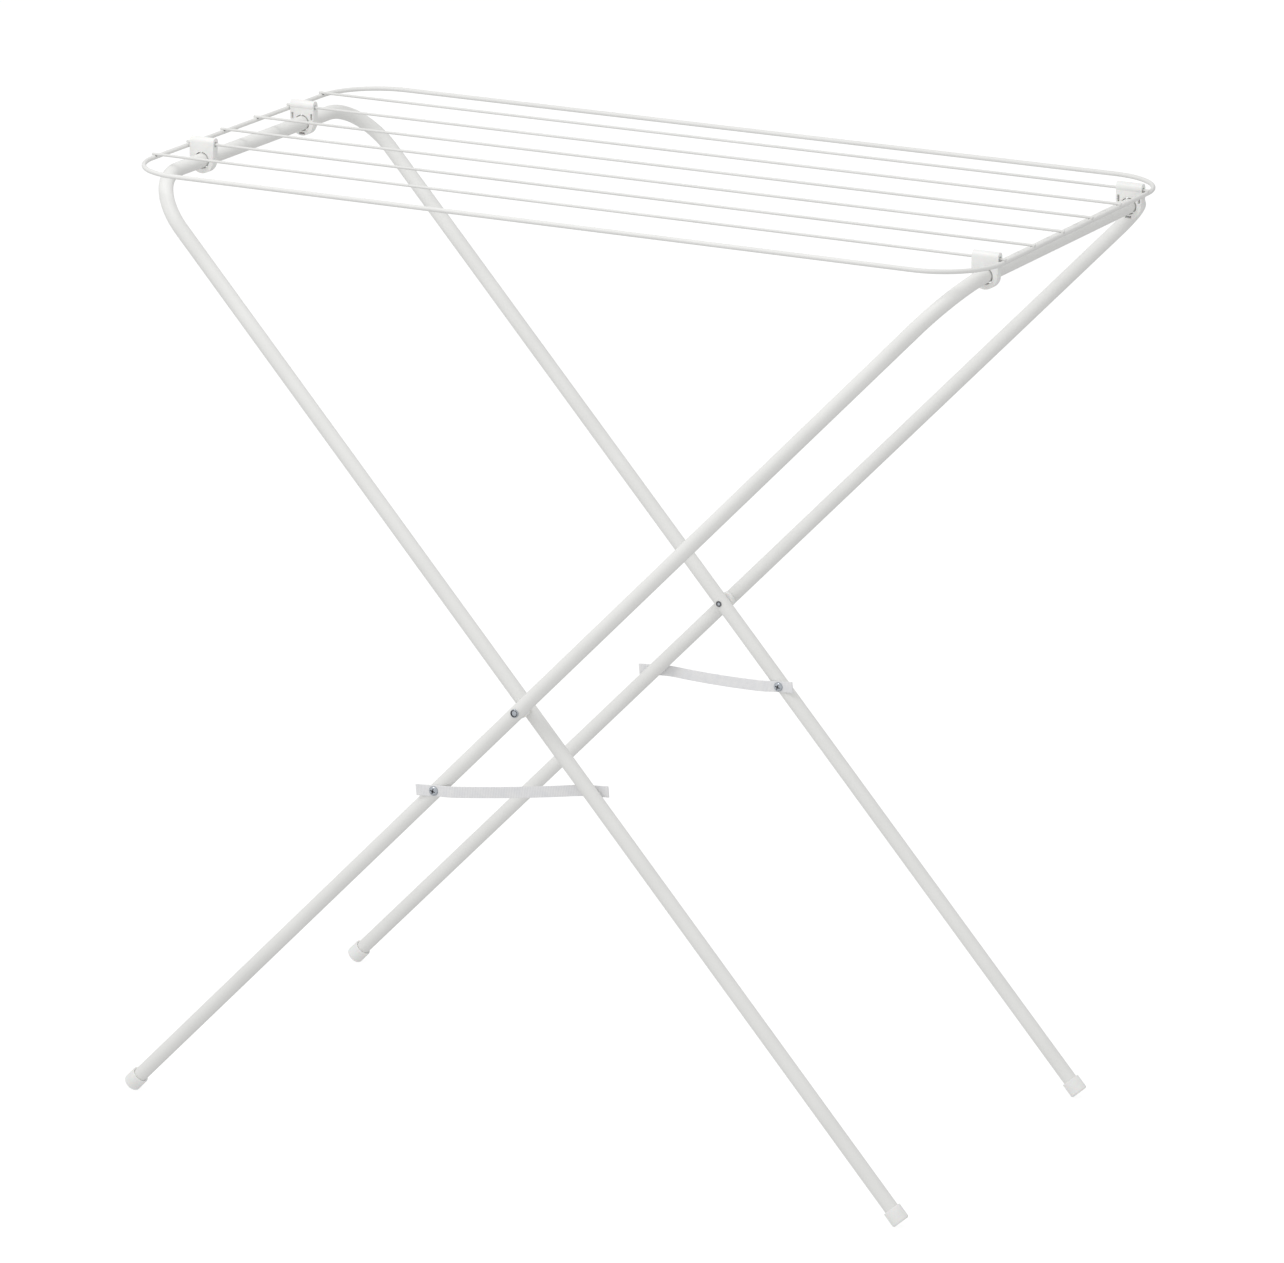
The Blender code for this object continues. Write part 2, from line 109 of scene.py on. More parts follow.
STRAP_WIDTH = 0.0127
STRAP_THICK = 0.0012
STRAP_SAG = 0.0018
STRAP_ON_OUTER_LEG = 0.1411
STRAP_ON_INNER_LEG = 0.1150
STRAP_OUTER_TAIL = 0.0220
STRAP_INNER_TAIL = 0.0175
STRAP_FLAT_ON_LEG = 0.0090
STRAP_RIB_PITCH = 0.0018
STRAP_THREAD_PITCH = 0.0007
SCREW_HEAD_R = 0.0054
SCREW_HEAD_H = 0.0026
SCREW_SHANK_R = 0.0020
SCREW_SHANK_LENGTH = 0.0050
SCREW_LENGTH = 0.0060
SCREW_CROSS_LENGTH = SCREW_HEAD_R * 1.05
SCREW_CROSS_WIDTH = SCREW_HEAD_R * 0.24
SCREW_CROSS_CUT = SCREW_HEAD_H * 1.1
SCREW_MIDDLE_CUT = SCREW_HEAD_H * 1.3
SCREW_CROSS_TURN = 0.5
SCREW_RECESS_R = SCREW_HEAD_R * 0.54
SCREW_RECESS_TOP = SCREW_HEAD_H * 0.95
GAP = 0.0003

# Rivet outlines from the middle of the head to the middle of the tail, as shares of each one's radius
# and height, and where they take painted shade
RIVET_HEAD_TOP = ((0.0, 0.85), (0.40, 0.78), (0.62, 0.50), (0.68, 0.10), (0.80, 0.10), (0.84, 0.90))
RIVET_HEAD_RIM = ((0.90, 1.0), (0.97, 0.80), (1.0, 0.45))
RIVET_TAIL_ROLL = ((1.0, 0.2), (1.0, 0.6), (0.90, 0.9), (0.80, 1.0), (0.68, 0.8), (0.50, 0.2), (0.0, 0.15))
RIVET_GROOVE = (RIVET_HEAD_R * 0.63, RIVET_HEAD_R * 0.83)
RIVET_HOLLOW_R = RIVET_TAIL_R * 0.4

# Webbing: the share of the way across that is eased at each end, how square its section is across and
# through, and how much its ribs swell the faces and the edges
STRAP_EASE = 0.12
STRAP_SQUARENESS = (0.18, 0.5)
STRAP_RIB_SWELL = 0.16
STRAP_RIB_SCALLOP = 0.015

# Facets round each kind of round piece and hole
TUBE_SIDES = 48
RIM_SIDES = 24
WIRE_SIDES = 20
TURNED_SIDES = 64
FASTENER_SIDES = 48
CROSS_SIDES = 24
RING_SIDES = 72
HOLLOW_SIDES = 40
BORE_SIDES = 32
STRAP_SIDES = 28

# Steps along each straight run and each rounded stretch
LEG_STEPS = 24
WIRE_STEPS = 16
BEND_STEPS = 36
CORNER_STEPS = 28
FILLET_STEPS = 10
LIP_STEPS = 6
DOME_STEPS = 12
BARREL_STEPS = 40
STRAP_STEPS = 2000
STRAP_ROWS_PER_RIB = 4
WELD_DIVISIONS = 3

# Mesh clean-up: a radius that counts as none, a distance that counts as one point, and angles in degrees
TINY = 1e-7
MERGE = 1e-6
FLAT_ANGLE = 1.0
EDGE_ANGLE = 32.0
EDGE_SEGMENTS = 3

# Camera: where it stands, where it looks and its lens on a 36 mm sensor
CAMERA_AT = Vector((3.566327, -6.836817, 2.802826))
CAMERA_YAW = math.radians(27.537)
CAMERA_PITCH = math.radians(16.355)
CAMERA_ROLL = math.radians(0.346)
CAMERA_LENS = 205.54
SENSOR_WIDTH = 36.0
CAMERA_REACH = 100.0

# Studio: a soft fill that is a little stronger from the front and above, and one large softbox
FILL_LEVEL = 0.75
FILL_TILT = (-0.045, -0.122, 0.115)
KEY_AT = (-0.45, -1.00, 2.76)
KEY_SIZE = 1.0
KEY_WATTS = 12.4
FLOOR_GLOW = 0.78
FLOOR_SIZE = 30.0

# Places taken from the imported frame
JOINTS = {joint["name"]: joint for joint in frame["joints"]}
PIVOT = Vector(JOINTS["frame_fold"]["pos_m"])
OUTER_BAR = Vector(JOINTS["grid_lift"]["pos_m"])
INNER_UP = (OUTER_BAR.z - PIVOT.z) / math.sin(INNER_TILT)
OUTER_UP = (OUTER_BAR.z - PIVOT.z) / math.sin(OUTER_TILT)
INNER_BAR = Vector((PIVOT.x - INNER_UP * math.cos(INNER_TILT), 0.0, OUTER_BAR.z))
RIM_Z = OUTER_BAR.z + RIM_ABOVE_BAR
WIRE_Z = RIM_Z + RIM_R + WIRE_R - WELD_SINK
RIM_HALF_WIDTH = WIRE_PITCH * (WIRE_COUNT + 1) / 2
RIM_LEFT = INNER_BAR.x - RIM_OVERHANG
RIM_RIGHT = OUTER_BAR.x + RIM_OVERHANG
INNER_FRAME = Matrix.Translation(PIVOT) @ Matrix.Rotation(INNER_TILT - math.pi / 2, 4, "Y")
OUTER_FRAME = Matrix.Translation(PIVOT) @ Matrix.Rotation(math.pi / 2 - OUTER_TILT, 4, "Y")
SIDES = (("front", -1), ("rear", 1))


# ---- Materials ----


class Nodes:
    """Builds a material's node tree around its Principled shader."""

    def __init__(self, name):
        self.material = bpy.data.materials.new(name)
        self.material.use_nodes = True
        self.tree = self.material.node_tree
        self.shader = self.tree.nodes["Principled BSDF"]
        self.coordinates = self.tree.nodes.new("ShaderNodeTexCoord")

    def add(self, kind, **settings):
        node = self.tree.nodes.new(kind)
        for key, value in settings.items():
            setattr(node, key, value)
        return node

    def link(self, source, target):
        self.tree.links.new(source, target)

    def noise(self, scale, detail=3.0, roughness=0.5, stretch=None):
        node = self.add("ShaderNodeTexNoise")
        node.inputs["Scale"].default_value = scale
        node.inputs["Detail"].default_value = detail
        node.inputs["Roughness"].default_value = roughness
        vector = self.coordinates.outputs["Object"]
        if stretch:
            mapping = self.add("ShaderNodeMapping")
            mapping.inputs["Scale"].default_value = stretch
            self.link(vector, mapping.inputs["Vector"])
            vector = mapping.outputs["Vector"]
        self.link(vector, node.inputs["Vector"])
        return node.outputs["Fac"]

    def ramp(self, source, low, high, start=0.3, stop=0.7):
        node = self.add("ShaderNodeValToRGB")
        node.color_ramp.elements[0].position = start
        node.color_ramp.elements[1].position = stop
        node.color_ramp.elements[0].color = (*low, 1.0)
        node.color_ramp.elements[1].color = (*high, 1.0)
        self.link(source, node.inputs["Fac"])
        return node.outputs["Color"]

    def spread(self, source, low, high):
        node = self.add("ShaderNodeMapRange")
        node.inputs["From Min"].default_value = 0.25
        node.inputs["From Max"].default_value = 0.75
        node.inputs["To Min"].default_value = low
        node.inputs["To Max"].default_value = high
        self.link(source, node.inputs["Value"])
        return node.outputs["Result"]

    def bump(self, height, strength, distance, below=None):
        node = self.add("ShaderNodeBump")
        node.inputs["Strength"].default_value = strength
        node.inputs["Distance"].default_value = distance
        self.link(height, node.inputs["Height"])
        if below:
            self.link(below, node.inputs["Normal"])
        return node.outputs["Normal"]

    def surface(self, colour=None, roughness=None, normal=None, **values):
        if colour:
            self.link(colour, self.shader.inputs["Base Color"])
        if roughness:
            self.link(roughness, self.shader.inputs["Roughness"])
        if normal:
            self.link(normal, self.shader.inputs["Normal"])
        for key, value in values.items():
            self.shader.inputs[key.replace("_", " ")].default_value = value
        return self.material


def powder_coat(name, low, high):
    """Satin white powder coat: faint cloudiness, orange peel and a fine grain."""
    nodes = Nodes(name)
    tone = nodes.ramp(nodes.noise(scale=14.0, detail=4.0), low, high)
    peel = nodes.bump(nodes.noise(scale=620.0, detail=2.0), strength=0.22, distance=0.00012)
    grain = nodes.bump(nodes.noise(scale=2600.0, detail=2.0), strength=0.10, distance=0.00005, below=peel)
    gloss = nodes.spread(nodes.noise(scale=90.0, detail=3.0), low=0.38, high=0.50)
    return nodes.surface(tone, gloss, grain, Specular_IOR_Level=0.4)


def moulded_plastic(name, low, high):
    """Satin white moulded plastic with a spark-eroded grain and slight flow marks."""
    nodes = Nodes(name)
    tone = nodes.ramp(nodes.noise(scale=70.0, detail=3.0), low, high)
    grain = nodes.bump(nodes.noise(scale=3200.0, detail=2.0), strength=0.16, distance=0.00005)
    gloss = nodes.spread(nodes.noise(scale=260.0, detail=3.0), low=0.36, high=0.50)
    return nodes.surface(tone, gloss, grain, Subsurface_Weight=0.04, Subsurface_Scale=0.002)


def zinc_steel(name, low, high):
    """Bright zinc-plated steel with fine scuffs."""
    nodes = Nodes(name)
    tone = nodes.ramp(nodes.noise(scale=900.0, detail=4.0, roughness=0.6), low, high)
    strokes = nodes.noise(scale=1500.0, detail=3.0, roughness=0.6, stretch=(1.0, 0.15, 1.0))
    scuffs = nodes.bump(strokes, strength=0.25, distance=0.00004)
    gloss = nodes.spread(nodes.noise(scale=1100.0, detail=3.0), low=0.20, high=0.38)
    return nodes.surface(tone, gloss, scuffs, Metallic=1.0)


def painted_recess_shade(name):
    """Painted shade: dark steel for the shade inside a screw's cross recess, a rivet's groove and a rivet's
    rolled tail.
    """
    nodes = Nodes(name)
    tone = nodes.ramp(nodes.noise(scale=1200.0, detail=3.0), (0.10, 0.10, 0.11), (0.20, 0.20, 0.21))
    gloss = nodes.spread(nodes.noise(scale=1500.0, detail=3.0), low=0.40, high=0.60)
    return nodes.surface(tone, gloss, Metallic=1.0)


def webbing(name):
    """Off-white woven webbing: warp threads along its length, crosswise ribs with painted shade between them
    and between the threads, and a fuzzy sheen.
    """
    nodes = Nodes(name)
    split = nodes.add("ShaderNodeSeparateXYZ")
    nodes.link(nodes.coordinates.outputs["UV"], split.inputs["Vector"])

    def wave(source, count, power):
        """A row of bumps from 0 to 1, so many to the metre. A power under 1 makes them blunt."""
        scaled = nodes.add("ShaderNodeMath", operation="MULTIPLY")
        scaled.inputs[1].default_value = math.pi * count
        nodes.link(source, scaled.inputs[0])
        sine = nodes.add("ShaderNodeMath", operation="SINE")
        nodes.link(scaled.outputs[0], sine.inputs[0])
        size = nodes.add("ShaderNodeMath", operation="ABSOLUTE")
        nodes.link(sine.outputs[0], size.inputs[0])
        shaped = nodes.add("ShaderNodeMath", operation="POWER")
        shaped.inputs[1].default_value = power
        nodes.link(size.outputs[0], shaped.inputs[0])
        return shaped.outputs[0]

    ribs = wave(split.outputs["X"], 1.0 / STRAP_RIB_PITCH, 0.6)
    threads = wave(split.outputs["Y"], 1.0 / STRAP_THREAD_PITCH, 0.8)
    cloth = nodes.add("ShaderNodeMath", operation="MULTIPLY")
    nodes.link(ribs, cloth.inputs[0])
    nodes.link(threads, cloth.inputs[1])
    # Painted shade: the colour is darker in the troughs between ribs and between threads, where the weave's
    # shade falls
    tone = nodes.ramp(
        cloth.outputs[0], (0.73, 0.727, 0.73), (0.94, 0.935, 0.935), start=0.0, stop=0.9
    )
    stain = nodes.ramp(nodes.noise(scale=120.0, detail=4.0), (0.93, 0.94, 0.96), (1.0, 1.0, 1.0))
    mixed = nodes.add("ShaderNodeMix", data_type="RGBA", blend_type="MULTIPLY")
    mixed.inputs["Factor"].default_value = 1.0
    nodes.link(tone, mixed.inputs["A"])
    nodes.link(stain, mixed.inputs["B"])
    weave = nodes.bump(cloth.outputs[0], strength=0.5, distance=0.00012)
    fuzz = nodes.bump(nodes.noise(scale=4200.0, detail=2.0), strength=0.25, distance=0.00006, below=weave)
    gloss = nodes.spread(nodes.noise(scale=800.0, detail=2.0), low=0.78, high=0.92)
    return nodes.surface(
        mixed.outputs["Result"], gloss, fuzz, Sheen_Weight=0.25, Sheen_Roughness=0.5
    )


PAINT = powder_coat("white_powder_coat", (0.79, 0.79, 0.773), (0.83, 0.83, 0.813))
# Painted shade: the wire and rim coats are the same white powder coat, coloured darker to stand in for the
# shade on these thin round wires
WIRE_PAINT_SHADED = powder_coat("white_wire_coat_painted_shade", (0.72, 0.72, 0.705), (0.76, 0.76, 0.745))
RIM_PAINT_SHADED = powder_coat("white_rim_coat_painted_shade", (0.75, 0.75, 0.735), (0.79, 0.79, 0.775))
# Painted shade: a dark coat for the lumps that stand in for the shaded crease under each wire at the rim
WELD_CREASE_SHADE = powder_coat("painted_weld_crease_shade", (0.16, 0.16, 0.16), (0.24, 0.24, 0.24))
PLASTIC = moulded_plastic("white_plastic", (0.85, 0.85, 0.835), (0.89, 0.89, 0.875))
ZINC = zinc_steel("zinc_steel", (0.40, 0.43, 0.47), (0.58, 0.61, 0.65))
# Painted shade: a dark copy of the zinc steel for recesses, grooves and rolled tails
RECESS_SHADE = painted_recess_shade("painted_shade_recess_steel")
CLOTH = webbing("strap_webbing")


# ---- Mesh building ----


def linked(name, build):
    """A new object in the scene, made of a bmesh. The bmesh is used up."""
    mesh = bpy.data.meshes.new(name)
    build.to_mesh(mesh)
    build.free()
    made = bpy.data.objects.new(name, mesh)
    bpy.context.scene.collection.objects.link(made)
    return made


def join_on(build, part):
    """Add one bmesh to another. The added one is used up."""
    mesh = bpy.data.meshes.new("part")
    part.to_mesh(mesh)
    part.free()
    build.from_mesh(mesh)
    bpy.data.meshes.remove(mesh)


def piece(name, build, materials, body, nodes, place=None, sharp=35.0):
    """A smooth-shaded piece made of a bmesh. It stands for CAD nodes and rides on a body, if one is given."""
    if place is not None:
        build.transform(place)
    made = linked(name, build)
    for material in materials:
        made.data.materials.append(material)
    made.data.shade_smooth()
    made.data.set_sharp_from_angle(angle=math.radians(sharp))
    if body:
        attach(made, body)
    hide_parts(*nodes)
    return made


def arc(centre, radius, start, end, steps):
    """Points of a circular arc in a plane, with angles in degrees."""
    points = []
    for i in range(steps + 1):
        angle = math.radians(start + (end - start) * i / steps)
        points.append((centre[0] + radius * math.cos(angle), centre[1] + radius * math.sin(angle)))
    return points


def sweep(points, radii, sides, across, closed=False):
    """A round bar along a planar line of points, as a bmesh. across is square to the plane of the line."""
    build = bmesh.new()
    rings = []
    count = len(points)
    for i, point in enumerate(points):
        before = points[i - 1] if closed or i else point
        after = points[(i + 1) % count] if closed or i < count - 1 else point
        along = ((point - before).normalized() + (after - point).normalized()).normalized()
        sideways = along.cross(across)
        ring = []
        for k in range(sides):
            angle = 2 * math.pi * k / sides
            offset = across * math.cos(angle) + sideways * math.sin(angle)
            ring.append(build.verts.new(point + offset * radii[i]))
        rings.append(ring)
    pairs = list(zip(rings, rings[1:]))
    if closed:
        pairs.append((rings[-1], rings[0]))
    for first, second in pairs:
        for k in range(sides):
            after = (k + 1) % sides
            build.faces.new((first[k], first[after], second[after], second[k]))
    if not closed:
        build.faces.new(list(reversed(rings[0])))
        build.faces.new(rings[-1])
    bmesh.ops.recalc_face_normals(build, faces=build.faces)
    return build


def chamfered(points, radius, chamfer):
    """A bar's line and radii, with a small chamfer at both ends."""
    first = (points[1] - points[0]).normalized() * chamfer
    last = (points[-2] - points[-1]).normalized() * chamfer
    line = [points[0], points[0] + first] + points[1:-1] + [points[-1] + last, points[-1]]
    radii = [radius - chamfer] + [radius] * (len(line) - 2) + [radius - chamfer]
    return line, radii


def turned(profile, sides):
    """A turned solid about Z, as a bmesh. The profile of (radius, height) starts and ends on the axis."""
    build = bmesh.new()
    rings = []
    for radius, height in profile:
        if radius < TINY:
            rings.append([build.verts.new((0.0, 0.0, height))])
            continue
        ring = []
        for k in range(sides):
            angle = 2 * math.pi * k / sides
            ring.append(build.verts.new((radius * math.cos(angle), radius * math.sin(angle), height)))
        rings.append(ring)
    for first, second in zip(rings, rings[1:]):
        for k in range(sides):
            after = (k + 1) % sides
            corners = [first[k % len(first)], first[after % len(first)]]
            corners += [second[after % len(second)], second[k % len(second)]]
            unique = list(dict.fromkeys(corners))
            if len(unique) > 2:
                build.faces.new(unique)
    bmesh.ops.recalc_face_normals(build, faces=build.faces)
    return build


def rod(radius, length, sides, axis):
    """A closed cylinder centred on the origin along an axis, as a bmesh."""
    build = bmesh.new()
    bmesh.ops.create_cone(
        build, cap_ends=True, segments=sides, radius1=radius, radius2=radius, depth=length
    )
    turn = {
        "X": Matrix.Rotation(math.pi / 2, 4, "Y"),
        "Y": Matrix.Rotation(-math.pi / 2, 4, "X"),
        "Z": Matrix.Identity(4),
    }
    build.transform(turn[axis])
    return build


def block(size):
    """A closed box centred on the origin, as a bmesh."""
    build = bmesh.new()
    bmesh.ops.create_cube(build, size=1.0)
    bmesh.ops.scale(build, vec=size, verts=build.verts)
    return build


def prism(outline, depth, axis):
    """A closed prism centred on the origin: an outline of (across, height), given a depth along X or Y."""
    build = bmesh.new()
    if axis == "Y":
        corners = [build.verts.new((across, -depth / 2, height)) for across, height in outline]
        shift = (0.0, depth, 0.0)
    else:
        corners = [build.verts.new((-depth / 2, across, height)) for across, height in outline]
        shift = (depth, 0.0, 0.0)
    face = build.faces.new(corners)
    raised = bmesh.ops.extrude_face_region(build, geom=[face])["geom"]
    moved = [item for item in raised if isinstance(item, bmesh.types.BMVert)]
    bmesh.ops.translate(build, vec=shift, verts=moved)
    bmesh.ops.recalc_face_normals(build, faces=build.faces)
    return build


def carved(build, tools):
    """The bmesh after each (tool, place, operation): cut back to the tool, or with the tool cut out."""
    blank = linked("blank", build)
    used = []
    for tool, place, operation in tools:
        cutter = linked("tool", tool)
        cutter.matrix_world = place
        step = blank.modifiers.new("Boolean", "BOOLEAN")
        step.operation = operation
        step.solver = "EXACT"
        step.object = cutter
        used.append(cutter)
    bpy.context.view_layer.update()
    evaluated = blank.evaluated_get(bpy.context.evaluated_depsgraph_get())
    result = bmesh.new()
    result.from_mesh(evaluated.to_mesh())
    for old in used + [blank]:
        bpy.data.objects.remove(old)
    return result


def soften(build, width):
    """Round every sharp edge of the bmesh."""
    bmesh.ops.remove_doubles(build, verts=build.verts, dist=MERGE)
    flat = math.radians(FLAT_ANGLE)
    bmesh.ops.dissolve_limit(build, angle_limit=flat, verts=build.verts, edges=build.edges)
    limit = math.radians(EDGE_ANGLE)
    edges = [
        edge for edge in build.edges if len(edge.link_faces) == 2 and edge.calc_face_angle(0) > limit
    ]
    rounding = {"segments": EDGE_SEGMENTS, "profile": 0.5, "affect": "EDGES", "clamp_overlap": True}
    bmesh.ops.bevel(build, geom=edges, offset=width, **rounding)
    return build


# ---- Frames ----


def leg_end(tilt):
    """Distance below the pivot of a cap's end face."""
    drop = PIVOT.z - CAP_FILLET - (CAP_R - CAP_FILLET) * math.cos(tilt)
    return drop / math.sin(tilt) + CAP_FILLET


def bent_tube(prefix, place, half, up, down):
    """One continuous U of painted tube: two legs, two bends and the top bar."""
    bend_start = up - BEND_R
    leg = bend_start + down
    route = [(half, -down + leg * i / LEG_STEPS) for i in range(LEG_STEPS)]
    route += arc((half - BEND_R, bend_start), BEND_R, 0, 90, BEND_STEPS)
    route += arc((BEND_R - half, bend_start), BEND_R, 90, 180, BEND_STEPS)
    route += [(-half, bend_start - leg * i / LEG_STEPS) for i in range(1, LEG_STEPS + 1)]
    points = [Vector((0.0, y, z)) for y, z in route]
    build = sweep(points, [TUBE_R] * len(points), TUBE_SIDES, Vector((1, 0, 0)))
    nodes = (prefix + "_top_bar", prefix + "_leg_front", prefix + "_leg_rear")
    piece(prefix + "_bent_tube", build, (PAINT,), prefix, nodes, place)


def cap_profile():
    """Half outline of a foot cap: closed end, rounded edge, sleeve, lip and the inside."""
    edge = arc((CAP_R - CAP_FILLET, CAP_FILLET), CAP_FILLET, -90, 0, FILLET_STEPS)
    lip = arc((CAP_R - CAP_LIP, CAP_LENGTH - CAP_LIP), CAP_LIP, 0, 90, LIP_STEPS)
    inside = TUBE_R + GAP / 2
    profile = [(0.0, 0.0)] + edge + [(CAP_R, CAP_LENGTH / 2)] + lip
    profile += [(TUBE_R + 2 * GAP, CAP_LENGTH - GAP), (inside, CAP_LENGTH - CAP_LIP)]
    profile += [(inside, CAP_FLOOR), (0.0, CAP_FLOOR)]
    return profile


def foot_cap(name, place, side_y, end, body):
    """A sleeve cap over the end of one leg."""
    build = turned(cap_profile(), TURNED_SIDES)
    at = place @ Matrix.Translation((0.0, side_y, -end))
    piece(name, build, (PLASTIC,), body, (name,), at)


def frames():
    """Both frames. Each tube stops just short of the floor inside its caps."""
    inner_end = leg_end(INNER_TILT)
    outer_end = leg_end(OUTER_TILT)
    inset = CAP_FLOOR + GAP
    bent_tube("inner_frame", INNER_FRAME, INNER_HALF, INNER_UP, inner_end - inset)
    bent_tube("outer_frame", OUTER_FRAME, OUTER_HALF, OUTER_UP, outer_end - inset)
    for word, side in SIDES:
        foot_cap("inner_foot_cap_" + word, INNER_FRAME, side * INNER_HALF, inner_end, "inner_frame")
        foot_cap("outer_foot_cap_" + word, OUTER_FRAME, side * OUTER_HALF, outer_end, "outer_frame")


# ---- Pivots ----


def rivet_profile(shank):
    """Half outline of a rivet with a shank of a given length. Height 0 is the outer face of the outer leg."""
    profile = [(RIVET_HEAD_R * out, RIVET_HEAD_H * up) for out, up in RIVET_HEAD_TOP + RIVET_HEAD_RIM]
    profile += [(RIVET_HEAD_R, -RIVET_HEAD_SINK), (RIVET_SHANK_R, -RIVET_SHANK_TOP)]
    profile += [(RIVET_SHANK_R, -shank)]
    profile += [(RIVET_TAIL_R * out, -shank - RIVET_TAIL_H * down) for out, down in RIVET_TAIL_ROLL]
    return profile


def rivet(name, side):
    """A tubular rivet: a grooved head on the outer leg and a rolled, hollow tail on the inner leg."""
    head = OUTER_HALF + TUBE_R
    shank = head - (INNER_HALF - TUBE_R)
    build = turned(rivet_profile(shank), FASTENER_SIDES)
    # Painted shade: the groove in the head and the rolled tail take the dark steel
    for face in build.faces:
        centre = face.calc_center_median()
        out = centre.xy.length
        groove = centre.z > 0.0 and RIVET_GROOVE[0] < out < RIVET_GROOVE[1]
        roll = centre.z < -shank and out > RIVET_HOLLOW_R
        if groove or roll:
            face.material_index = 1
    turn = Matrix.Rotation(-side * math.pi / 2, 4, "X")
    at = OUTER_FRAME @ Matrix.Translation((0.0, side * head, 0.0)) @ turn
    piece(name, build, (ZINC, RECESS_SHADE), "outer_frame", (name,), at)


def spacer(name, side):
    """A round white spacer: flat to the inner leg, and a saddle around the outer leg."""
    inner_face = INNER_HALF + TUBE_R + GAP
    outer_face = OUTER_HALF - TUBE_R + SPACER_WRAP
    depth = outer_face - inner_face
    middle = (outer_face + inner_face) / 2
    saddle = rod(TUBE_R + GAP, 4 * SPACER_R, TURNED_SIDES, "Z")
    cut = Matrix.Translation((0.0, side * (OUTER_HALF - middle), 0.0))
    bore = rod(RIVET_SHANK_R + GAP, 4 * depth, BORE_SIDES, "Y")
    tools = [(saddle, cut, "DIFFERENCE"), (bore, Matrix.Identity(4), "DIFFERENCE")]
    build = soften(carved(rod(SPACER_R, depth, TURNED_SIDES, "Y"), tools), SPACER_EDGE)
    at = OUTER_FRAME @ Matrix.Translation((0.0, side * middle, 0.0))
    piece(name, build, (PLASTIC,), "outer_frame", (name,), at)


def pivots():
    """The rivet and the spacer of both crossings."""
    for word, side in SIDES:
        rivet("pivot_rivet_" + word, side)
        spacer("pivot_spacer_" + word, side)


# ---- Grid ----


def wire_y(number):
    """Place across the rack of a drying wire, counted from the front."""
    return (number - (WIRE_COUNT + 1) / 2) * WIRE_PITCH


def grid_rim():
    """The closed wire round the grid, with round corners."""
    half = RIM_HALF_WIDTH - RIM_CORNER_R
    left = RIM_LEFT + RIM_CORNER_R
    right = RIM_RIGHT - RIM_CORNER_R
    loop = []
    for turn, centre in enumerate(((right, half), (left, half), (left, -half), (right, -half))):
        loop += arc(centre, RIM_CORNER_R, 90 * turn, 90 * (turn + 1), CORNER_STEPS)
    points = [Vector((x, y, RIM_Z)) for x, y in loop]
    build = sweep(points, [RIM_R] * len(points), RIM_SIDES, Vector((0, 0, 1)), closed=True)
    piece("grid_rim_wire", build, (RIM_PAINT_SHADED,), "grid", ("grid_rim",))


def weld(x, y, z, size):
    """A ball of weld metal, stretched to three half sizes."""
    build = bmesh.new()
    bmesh.ops.create_icosphere(build, subdivisions=WELD_DIVISIONS, radius=1.0)
    bmesh.ops.scale(build, vec=size, verts=build.verts)
    build.transform(Matrix.Translation((x, y, z)))
    return build


def drying_wire(number):
    """A drying wire, welded at each end: a bead on the rim's outer half and a dark lump of painted shade in
    the crease on its inner half.
    """
    y = wire_y(number)
    start = RIM_LEFT - WIRE_PAST_RIM
    length = RIM_RIGHT + WIRE_PAST_RIM - start
    points = [Vector((start + length * i / WIRE_STEPS, y, WIRE_Z)) for i in range(WIRE_STEPS + 1)]
    line, radii = chamfered(points, WIRE_R, WIRE_CHAMFER)
    build = sweep(line, radii, WIRE_SIDES, Vector((0, 0, 1)))
    ends = ((RIM_LEFT, -1), (RIM_RIGHT, 1))
    for x, outward in ends:
        join_on(build, weld(x + outward * WELD_BEAD_OUT, y, RIM_Z + RIM_R - WELD_SINK, WELD_BEAD_SIZE))
    painted = len(build.faces)
    # Dark lumps of painted shade in the crease under the wire, on the rim's inner side
    for x, outward in ends:
        join_on(build, weld(x - outward * WELD_SHADE_IN, y, RIM_Z + WELD_SHADE_UP, WELD_SHADE_SIZE))
    build.faces.ensure_lookup_table()
    for face in build.faces[painted:]:
        face.material_index = 1
    name = "drying_wire_%d" % number
    piece(name + "_welded", build, (WIRE_PAINT_SHADED, WELD_CREASE_SHADE), "grid", (name,))


def drying_wires():
    """All drying wires, counted from the front."""
    for number in range(1, WIRE_COUNT + 1):
        drying_wire(number)


# ---- Clips ----


def clip_face():
    """A clip seen square on, given more than its depth: a ring with a square-shouldered plate on it."""
    shoulder = math.degrees(math.asin(CLIP_FOOT / CLIP_RING_R))
    head = CLIP_TOP + CLIP_BARREL_R
    outline = [(CLIP_HALF_WIDTH, head), (-CLIP_HALF_WIDTH, head), (-CLIP_HALF_WIDTH, CLIP_FOOT)]
    outline += arc((0, 0), CLIP_RING_R, 180 - shoulder, 360 + shoulder, RING_SIDES)
    outline += [(CLIP_HALF_WIDTH, CLIP_FOOT)]
    return prism(outline, 2 * CLIP_DEPTH, "Y")


def clip_section(side):
    """A clip seen from its end: flat outer face, round barrel and set-back inner face."""
    under = math.degrees(math.acos(1 - CLIP_PLATE_STEP / CLIP_BARREL_R))
    outline = arc((0, CLIP_TOP - CLIP_BARREL_R), CLIP_BARREL_R, 0, 180 + under, BARREL_STEPS)
    outline += [(CLIP_PLATE_STEP - CLIP_BARREL_R, -CLIP_TOP), (CLIP_BARREL_R, -CLIP_TOP)]
    return prism([(side * y, z) for y, z in outline], 4 * CLIP_HALF_WIDTH, "X")


